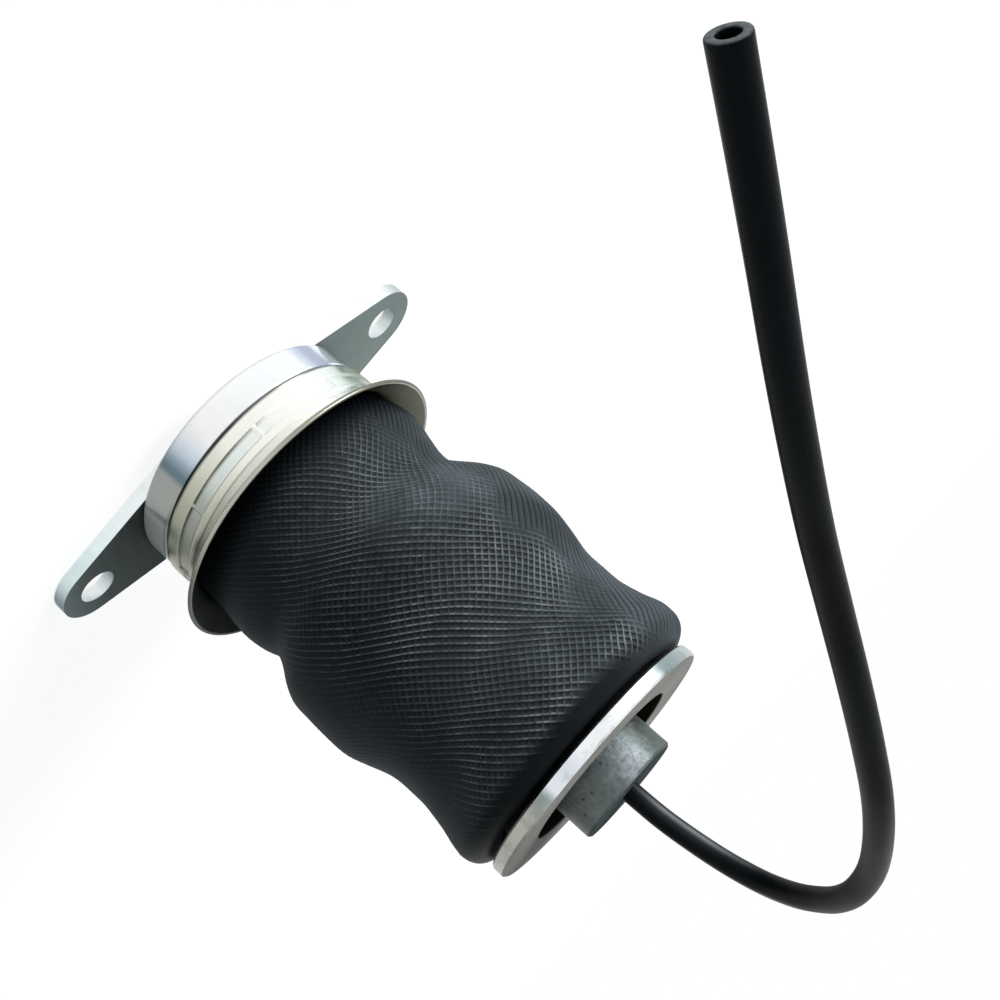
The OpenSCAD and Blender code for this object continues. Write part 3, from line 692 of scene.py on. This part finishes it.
def sleeve_material():
    """Yellow-passivated zinc with painted highlights, reflections and shade round it, and painted shade
    along the crimps' edges.
    """
    s = Shader("sleeve_zinc_yellow", 0.3, 0.85, Specular_IOR_Level=0.0)
    cloud, fine = s.noise(40, 4, 0.6), s.noise(700, 3, 0.6)
    # The band below the flare, yellow with a painted highlight round its lit side, then the flare's cone
    # with painted light and shade round it
    flare = s.steps(s.radius(), (SLEEVE_R + 0.7) * MM, (SLEEVE_R + 2) * MM)
    pale = s.around((0, 0.3), (20, 0.1), (30, 0.35), (40, 0.8), (50, 1.0), (104, 1.0), (114, 0.7),
                    (124, 0.4), (134, 0.2), (150, 0.05), (165, 0.0), (200, 0.2), (290, 0.8))
    yellow = s.ramp(cloud, (0.32, "8b8d79"), (0.5, "9c9e8a"), (0.7, "aeb09d"))
    bright = s.around((0, "dfece4"), (34, "cfe6dc"), (48, "f0f9f4"), (60, "fbfcf8"), (92, "fafaf2"),
                      (110, "eff0e4"), (200, "e3e4d6"))
    cone = s.around((0, "c9cbbd"), (30, "d9dbcf"), (42, "f4f5f0"), (60, "fbfbf8"), (112, "f6f6f1"),
                    (128, "d6d8cd"), (148, "a4a69a"), (165, "8b8d81"), (175, "7c7f73"), (200, "60635a"),
                    (240, "b5b8ab"), (300, "d8dacf"))
    # Painted shade on the band's -X side
    yellow = s.times(yellow, s.around((0, 1.0), (118, 1.0), (134, 0.84), (200, 0.84), (240, 1.0)))
    outside = s.mix(flare, s.mix(pale, yellow, bright), cone)
    # The crimps, with a painted reflection tint that changes round the axis
    tint = s.around((0, "cfd8d4"), (60, "eef5f3"), (105, "e0eceb"), (118, "cbd8dc"), (127, "98a3a3"),
                    (138, "828c88"), (155, "777f7a"), (200, "777f7a"), (260, "cfd8d4"))
    seen = s.around((0, 0.3), (60, 0.1), (84, 0.2), (90, 0.9), (200, 0.9), (260, 0.5))
    inset = s.product(s.attribute("inset"), s.steps(cloud, 0.35, 0.65, 0.3, 0.7))
    outside = s.mix(s.product(inset, seen), outside, tint)
    # Painted shade: dark lines along the crimps' edges and in the groove between the sheet and the can
    edges = s.around((0, 0.3), (20, 0.3), (60, 0.08), (84, 0.12), (90, 0.5), (105, 0.85), (135, 1.0),
                     (200, 1.0), (260, 0.5))
    groove = s.around((0, 0.6), (25, 0.7), (38, 1.0), (56, 0.9), (61, 0.1), (70, 0.1), (76, 0.6), (95, 1.0),
                      (134, 1.0), (146, 0.55), (200, 0.5), (260, 0.6))
    deep = s.mix(s.steps(s.part(s.coords, 2), (FOOT + 3.2) * MM, (FOOT + 2.2) * MM), edges, groove)
    edge_shade = s.product(s.attribute("line"), s.steps(cloud, 0.38, 0.62, 0.7, 1.0))
    outside = s.mix(s.product(edge_shade, deep), outside, "474c44")
    # The flare's rim, with painted light and shade round it, and dull where it is seen edge on
    rim = s.around((0, "5f6254"), (35, "73766a"), (60, "85877a"), (85, "9a9c8e"), (100, "b9bbad"),
                   (135, "a8ab9d"), (152, "7f8276"), (168, "676a60"), (185, "52564c"), (235, "4a4e46"),
                   (280, "8f9282"))
    lip = s.steps(s.radius(), (RIM_R - 1.4) * MM, (RIM_R - 0.8) * MM)
    outside = s.mix(lip, outside, rim)
    dull = s.product(lip, s.around((0, 0.0), (128, 0.0), (148, 0.8), (200, 0.8), (235, 0.0)))
    # Scratches round the sheet
    scratches = s.noise(1, 4, 0.75, s.scaled(60, 60, 900))
    marked = s.product(s.steps(scratches, 0.56, 0.74, 0, 0.28), s.steps(pale, 0.5, 1.0, 1.0, 0.25))
    colour = s.mix(marked, outside, s.times(outside, "8a8c7c"))
    rough = s.steps(cloud, 0.3, 0.8, 0.2, 0.42)
    normal = s.bump(s.total(fine, scratches), 0.12, 0.0001)
    return s.use(colour, rough, normal, s.steps(dull, 0, 1, 0.85, 0.1))


def sleeve_inside_material():
    """The flare's inside: dull olive zinc under painted shade and a painted reflection of the dark rubber,
    except on the +X side.
    """
    s = Shader("sleeve_zinc_inside", 0.6, 0.0, Specular_IOR_Level=0.05)
    cloud, fine = s.noise(40, 4, 0.6), s.noise(700, 3, 0.6)
    tone = s.total(cloud, s.product(fine, 0.2))
    colour = s.ramp(tone, (0.4, "bcc0a6"), (0.62, "c9cdb2"), (0.8, "d6dac0"))
    # Painted shade and reflection of the rubber, lifted on the +X side
    unshaded = s.around((0, 1.0), (18, 0.95), (30, 0.6), (40, 0.3), (52, 0.08), (70, 0.0), (225, 0.0),
                     (260, 0.15), (320, 0.9))
    colour = s.mix(unshaded, "171c1e", colour)
    return s.use(colour, s.steps(cloud, 0.3, 0.7, 0.5, 0.7), s.bump(fine, 0.2, 0.0001))


def ring_material():
    """A turned alloy ring: fine rings on its dull face, painted shade on that face towards -X, painted
    reflections round its rim and painted shade in its bore.
    """
    bore_r, chamfer_r = 30 * MM, 39 * MM
    s, colour, rough, normal = metal("ring_alloy_turned", "b3b1ab", "bfbdb7", "cac8c2", 0.4)
    s.bsdf.inputs["Specular IOR Level"].default_value = 0.0
    radius = s.radius()
    turned = s.noise(1, 3, 0.8, s.add("ShaderNodeCombineXYZ", X=s.product(radius, 2200)).outputs[0])
    colour = s.mix(s.steps(turned, 0.4, 0.7, 0, 0.3), colour, "dad8d2")
    # Painted reflections round the rim
    rim = s.around((0, "b9c2be"), (24, "b9c5c2"), (44, "93a3a4"), (54, "8b9c9d"), (59, "dfe6e6"),
                   (66, "f2f4f4"), (100, "f0f3f5"), (108, "d6dce3"), (118, "e0e5ea"), (122, "8f9a98"),
                   (128, "9ca19b"), (136, "a9a99f"), (165, "989890"), (180, "84847b"), (260, "e2e6e6"))
    patch = s.noise(160, 3, 0.6)
    rim = s.mix(s.steps(patch, 0.5, 0.62, 0, 0.3), rim, s.times(rim, "aeb6bf"))
    # Painted shade on the face, darker towards -X
    face = s.around((0, 0.82), (90, 0.78), (140, 0.66), (200, 0.6), (300, 0.8))
    outer = s.steps(radius, chamfer_r - 1 * MM, chamfer_r + 1 * MM)
    chamfered = s.product(s.sides(0.95, 0.88), outer)
    side = s.math("MAXIMUM", s.sides(), chamfered)
    colour = s.mix(side, s.times(colour, face), rim)
    # Painted shade in the bore
    bore = s.steps(radius, bore_r + 0.7 * MM, bore_r + 0.3 * MM)
    colour = s.mix(bore, colour, "2b2520")
    edge = s.product(chamfered, s.around((0, 1.0), (125, 1.0), (142, 0.1), (205, 0.1), (230, 1.0)))
    shine = s.product(s.math("MAXIMUM", s.sides(), edge), s.steps(bore, 0, 1, 1.0, 0.2))
    return s.use(colour, s.product(rough, s.steps(side, 0, 1, 1.2, 0.7)), normal, shine)


def hub_material():
    """Die-cast grey with fine grain and a few dark pits, painted shade on its -X side and end face, and a
    painted highlight patch.
    """
    s = Shader("hub_cast_grey", 0.48, 0.75, Specular_IOR_Level=0.0)
    grain, cloud = s.noise(520, 4, 0.65), s.noise(90, 3, 0.55)
    tone = s.total(s.product(grain, 0.5), s.product(cloud, 0.5))
    colour = s.ramp(tone, (0.36, "555d5b"), (0.5, "656e6c"), (0.64, "757e7c"))
    # Painted shade on the -X side
    colour = s.times(colour, s.around((0, 1.0), (135, 1.0), (160, 0.8), (200, 0.8), (230, 1.0)))
    # A painted highlight patch near the outer end, on the +Y side, with a fainter one on the -Y side
    painted_patch = s.around((0, 0.0), (58, 0.0), (71, 0.5), (87, 0.75), (99, 0.25), (116, 0.0), (250, 0.0),
                   (275, 0.4), (300, 0.0))
    painted_patch = s.product(painted_patch, s.steps(s.part(s.coords, 2), 0.1745, 0.181, 0.35, 1.0))
    painted_patch = s.product(painted_patch, s.steps(tone, 0.4, 0.62, 0.3, 1.0))
    colour = s.mix(painted_patch, colour, "cad2dd")
    cells = s.add("ShaderNodeTexVoronoi", Vector=s.coords, Scale=230.0)
    reach = s.total(cells.outputs["Distance"], s.product(s.noise(900, 2), 0.3))
    pits = s.product(s.steps(reach, 0.3, 0.22), s.steps(s.noise(75, 2), 0.45, 0.49))
    colour = s.mix(s.product(pits, 0.75), colour, "303534")
    # Painted shade on the end face
    end = s.steps(s.part(s.facing, 2), 0.85, 0.95)
    colour = s.mix(end, colour, "565d5d")
    normal = s.bump(grain, 0.45, 0.00025)
    shine = s.steps(s.part(s.facing, 2), 0.3, 0.75, 0.75, 0.0)
    return s.use(colour, s.steps(grain, 0.3, 0.7, 0.38, 0.56), normal, shine)


def cup_material():
    """Cast alloy, with brown-black painted shade inside the cup round the hub and black painted shade where
    the roll runs.
    """
    s, colour, rough, normal = metal("piston_alloy_cast", "6a6864", "7d7b77", "8f8d89", 0.6, 0.5)
    s.bsdf.inputs["Specular IOR Level"].default_value = 0.1
    high, radius, cup_r = s.part(s.coords, 2), s.radius(), 33.4 * MM
    # Painted shade in the cup round the hub
    cup = s.product(s.steps(radius, cup_r, cup_r - 0.6 * MM), s.steps(high, 0.146, 0.15))
    colour = s.mix(cup, colour, s.ramp(s.noise(80, 4, 0.6), (0.35, "2b2420"), (0.65, "453a32")))
    # Painted shade, black, where the roll runs under the ring
    run = s.product(s.steps(radius, cup_r, cup_r + 0.6 * MM), s.steps(high, 0.15, 0.156))
    colour = s.mix(run, colour, "0c0d0e")
    plain = s.steps(s.math("MAXIMUM", cup, run), 0, 1, 0.5, 0.1)
    return s.use(colour, rough, normal, plain)


def rubber(name, low, high, rough, specular=0.2):
    """The two cloudy tones and the fine grain of a moulded rubber."""
    s = Shader(name, rough, 0.0, Specular_IOR_Level=specular, Specular_Tint=(0.8, 0.9, 1, 1))
    cloud, fine = s.noise(30, 3), s.noise(1400, 3, 0.7)
    tone = s.total(s.product(cloud, 0.7), s.product(fine, 0.3))
    colour = s.ramp(tone, (0.35, low), (0.68, high))
    return s, colour, s.steps(cloud, 0.3, 0.7, rough * 0.85, rough * 1.2), s.bump(fine, 0.3, 0.00008)


def plain_rubber(*looks):
    s, colour, rough, normal = rubber(*looks)
    return s.use(colour, rough, normal)


def hose_material():
    """Satin black rubber with a painted highlight, as a pale streak on its first bend, a matt second bend
    and a pale cut end.
    """
    s, colour, rough, normal = rubber("hose_rubber_satin", "0b0e10", "15191b", 0.34, 0.04)
    # The painted highlight on the first bend
    worn = s.product(s.attribute("streak"), s.steps(s.noise(50, 3), 0.3, 0.7, 0.6, 1.0))
    colour = s.mix(worn, colour, "8a9196")
    cut = s.attribute("cut")
    colour = s.mix(cut, colour, s.ramp(s.noise(900, 3, 0.6), (0.35, "5f6769"), (0.65, "7d8486")))
    rough = s.mix(s.attribute("matt"), rough, (0.56, 0.56, 0.56, 1))
    return s.use(colour, s.mix(cut, rough, (0.7, 0.7, 0.7, 1)), normal)


def bellows_material():
    """Black rubber over cord cloth: painted sheen on the lit side, painted shade on the -X side, in the
    hollows, down in the sleeve and over the roll, and both sets of lines rubbed pale, with painted sheen on
    them.
    """
    s, colour, _, normal = rubber("bellows_cord_rubber", "1c2124", "282e32", 0.55, 0.04)
    high = s.part(s.coords, 2)
    blotch, fine = s.noise(38, 3), s.noise(420, 2)
    # Painted sheen, most on the lit +X side and above the fold, in patches, and none down by the sleeve
    painted_sheen = s.around((0, 0.9), (30, 1.0), (55, 0.7), (80, 0.45), (105, 0.25), (125, 0.1), (140, 0.0),
                     (230, 0.0), (300, 0.5))
    painted_sheen = s.total(painted_sheen, s.steps(high, 0.115, 0.135, 0.0, 0.35))
    painted_sheen = s.product(painted_sheen, s.steps(blotch, 0.35, 0.65, 0.5, 1.0))
    painted_sheen = s.product(painted_sheen, s.steps(high, 0.042, 0.057, 0.0, 1.0))
    painted_sheen = s.product(painted_sheen, s.around((0, 1.0), (110, 1.0), (140, 0.4), (300, 1.0)))
    colour = s.mix(painted_sheen, colour, "51595d")
    # Painted shade, a darker even tone on the -X side
    shady = s.around((0, 0.0), (125, 0.0), (150, 0.7), (205, 0.7), (240, 0.0))
    colour = s.mix(shady, colour, "272f30")
    # Painted shade in the hollows between the lines
    hollow_shade_share = s.around((0, 0.9), (48, 0.9), (62, 0.55), (85, 0.35), (125, 0.3), (145, 0.05), (205, 0.05),
                   (260, 0.5), (320, 0.6))
    deeper = s.around((0, 1.0), (130, 1.0), (145, 0.0), (205, 0.0), (260, 1.0))
    deeper = s.product(s.steps(high, 0.068, 0.088, 0.0, 0.35), deeper)
    hollow_shade_share = s.math("MINIMUM", s.total(hollow_shade_share, deeper), 0.95)
    colour = s.mix(s.product(s.attribute("hollow"), hollow_shade_share), colour, "0c0e0f")
    # A painted highlight low on the fold
    crest_highlight = s.around((0, 0.0), (36, 0.2), (50, 0.8), (66, 0.75), (84, 0.25), (98, 0.0))
    crest_highlight = s.product(crest_highlight, s.steps(high, 0.066, 0.077, 0.0, 0.85))
    crest_highlight = s.product(crest_highlight, s.steps(high, 0.098, 0.083, 0.0, 1.0))
    colour = s.mix(s.product(crest_highlight, s.steps(blotch, 0.35, 0.6, 0.5, 1.0)), colour, "747f84")
    # Both sets of lines, rubbed pale in patches, with painted sheen: strongest from +X round to +Y and just
    # below the roll, almost none on the -X side, and fading down by the sleeve
    level = s.around((0, 0.15), (35, 0.2), (58, 0.5), (74, 0.95), (100, 1.25), (125, 0.85), (142, 0.3),
                     (155, 0.03), (205, 0.03), (260, 0.7), (320, 0.4))
    steep = s.around((0, 0.9), (40, 1.05), (62, 0.85), (80, 0.4), (97, 0.2), (125, 0.18), (145, 0.05),
                     (205, 0.05), (260, 0.4), (320, 0.7))
    rubbed = s.steps(s.total(blotch, s.product(fine, 0.9)), 0.75, 1.15, 0.3, 1.15)
    share = s.total(s.product(s.attribute("dash"), level), s.product(s.attribute("rib"), steep))
    share = s.product(share, s.steps(high, 0.043, 0.064, 0.15, 1.0))
    share = s.product(share, s.steps(high, 0.146, 0.157, 1.0, 1.6))
    share = s.math("MINIMUM", s.product(share, rubbed), 1.0)
    colour = s.mix(share, colour, "a3aaaf")
    # Painted shade down in the sleeve and over the roll under the ring
    colour = s.mix(s.steps(high, 0.040, 0.049, 0.85, 0.0), colour, "0a0d0e")
    smooth = s.around((0, 0.2), (40, 0.35), (72, 1.0), (220, 1.0), (300, 0.5))
    colour = s.mix(s.product(s.steps(high, 0.1585, 0.1625, 0.0, 0.8), smooth), colour, "090b0c")
    return s.use(colour, s.steps(share, 0, 1, 0.6, 0.45), normal)


materials = {
    "plate_zinc": plate_material(),
    "can_zinc": can_material(),
    "sleeve_zinc": sleeve_material(),
    "ring_alloy": ring_material(),
    "piston_alloy": cup_material(),
    "hub_cast": hub_material(),
    "screw_zinc": plain_metal("screw_zinc_yellow", "9a9470", "b6ae86", "cdc7a2", 0.3),
    "brass": plain_metal("brass_turned", "93793c", "b39550", "cdb26d", 0.28),
    "seal_rubber": plain_rubber("seal_rubber_black", "111214", "1e2022", 0.55),
    "buffer_rubber": plain_rubber("buffer_rubber_grey", "232425", "38393a", 0.7),
    "hose_rubber": hose_material(),
}
bellows.data.materials.append(bellows_material())
hose.data.materials.append(materials["hose_rubber"])
sleeve.data.materials.append(materials["sleeve_zinc"])
sleeve.data.materials.append(sleeve_inside_material())
# The solids get their materials by the names in their slots
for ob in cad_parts.values():
    for held in ob.material_slots:
        for key, made in materials.items():
            if held.material and held.material.name.startswith(key):
                held.material = made


# Floor, light and world
def background_share(tree):
    """1 for the rays that see the background: from the camera, off glossy surfaces and through clear."""
    path = tree.nodes.new("ShaderNodeLightPath")
    share = path.outputs["Is Camera Ray"]
    for kind in ("Is Glossy Ray", "Is Transmission Ray"):
        total = tree.nodes.new("ShaderNodeMath")
        total.operation = "ADD"
        total.use_clamp = True
        tree.links.new(share, total.inputs[0])
        tree.links.new(path.outputs[kind], total.inputs[1])
        share = total.outputs[0]
    return share


def by_ray(tree, plain, seen):
    """One shader for the rays that see the background, and a plain one for the light that spreads."""
    pick = tree.nodes.new("ShaderNodeMixShader")
    for socket, value in zip(pick.inputs, (background_share(tree), plain, seen)):
        tree.links.new(value, socket)
    return pick.outputs[0]


def floor_material():
    """White with a soft shadow where it is seen, and pale grey for the light that it gives back."""
    s = Shader("floor_white", 0.9)
    glow = s.add("ShaderNodeEmission", Color=(1, 1, 1, 1), Strength=0.82)
    grey = s.add("ShaderNodeBsdfDiffuse", Color=(0.36, 0.36, 0.36, 1))
    pale = s.add("ShaderNodeBsdfDiffuse", Color=(0.75, 0.75, 0.75, 1))
    both = s.add("ShaderNodeAddShader")
    s.tree.links.new(glow.outputs[0], both.inputs[0])
    s.tree.links.new(grey.outputs[0], both.inputs[1])
    picked = by_ray(s.tree, pale.outputs[0], both.outputs[0])
    s.tree.links.new(picked, s.tree.nodes["Material Output"].inputs["Surface"])
    return s.mat


def make_world():
    """White where it is seen, and a dim bluish light from all round."""
    world = bpy.data.worlds.new("world")
    scene.world = world
    world.use_nodes = True
    tree = world.node_tree
    tree.nodes.clear()
    dim, white = tree.nodes.new("ShaderNodeBackground"), tree.nodes.new("ShaderNodeBackground")
    for node, colour, strength in ((dim, (0.92, 0.96, 1, 1), 0.24), (white, (1, 1, 1, 1), 1.0)):
        node.inputs["Color"].default_value = colour
        node.inputs["Strength"].default_value = strength
    out = tree.nodes.new("ShaderNodeOutputWorld")
    tree.links.new(by_ray(tree, dim.outputs[0], white.outputs[0]), out.inputs["Surface"])


def sun(name, towards, energy, angle, colour=(1, 1, 1)):
    """A soft lamp that shines from the given direction."""
    lamp = bpy.data.objects.new(name, bpy.data.lights.new(name, "SUN"))
    scene.collection.objects.link(lamp)
    lamp.data.energy = energy
    lamp.data.angle = math.radians(angle)
    lamp.data.color = colour
    lamp.rotation_euler = Vector(towards).to_track_quat("Z", "Y").to_euler()


FLOOR_HALF = 8
corners = [(x * FLOOR_HALF, y * FLOOR_HALF, 0) for x, y in ((-1, -1), (1, -1), (1, 1), (-1, 1))]
floor = new_object("floor", corners, [(0, 1, 2, 3)], smooth=False)
# Just under the plate, so that no two faces share a place
floor.location.z = -0.0003
floor.data.materials.append(floor_material())
make_world()
sun("key", (0.85, 0.48, 0.3), 2.8, 35)
sun("fill", (-0.2, -0.85, 0.45), 1.0, 60, (0.92, 0.96, 1))
